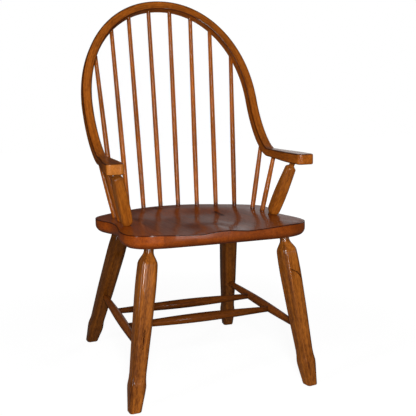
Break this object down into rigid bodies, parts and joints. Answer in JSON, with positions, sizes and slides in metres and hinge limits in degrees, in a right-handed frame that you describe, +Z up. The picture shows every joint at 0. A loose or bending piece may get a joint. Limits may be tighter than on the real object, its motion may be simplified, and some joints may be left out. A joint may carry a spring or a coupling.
{
  "type": "bow back armchair",
  "caption": "Wooden armchair: one bent rail forms the hoop of the back and both arms, over a carved board seat, turned spindles, shaped arm posts and splayed legs joined by stretchers.",
  "frame": {"origin": "on the floor, under the middle of the chair's overall size", "axes": "-Y is the front, the way a sitter faces; +Z is up; +X is the chair's left-to-right line as seen from the front"},
  "size_m": [0.576, 0.6306, 1.0708],
  "materials": {
    "seat": "dark stained oak, satin lacquer",
    "bow": "honey brown stained oak, satin lacquer",
    "spindles": "honey brown stained oak, satin lacquer",
    "posts_and_legs": "honey brown stained oak, satin lacquer"
  },
  "bodies": {
    "root": {"seat": "seat", "bow_and_arms": "bow", "back_spindle_1": "spindles", "back_spindle_2": "spindles", "back_spindle_3": "spindles", "back_spindle_4": "spindles", "back_spindle_5": "spindles", "back_spindle_6": "spindles", "back_spindle_7": "spindles", "back_spindle_8": "spindles", "arm_spindle_left_1": "spindles", "arm_spindle_left_2": "spindles", "arm_spindle_right_1": "spindles", "arm_spindle_right_2": "spindles", "arm_post_left": "posts_and_legs", "arm_post_right": "posts_and_legs", "leg_front_left": "posts_and_legs", "leg_front_right": "posts_and_legs", "leg_back_left": "posts_and_legs", "leg_back_right": "posts_and_legs", "side_stretcher_left": "posts_and_legs", "side_stretcher_right": "posts_and_legs", "cross_stretcher_front": "posts_and_legs", "cross_stretcher_back": "posts_and_legs"}
  },
  "joints": []
}
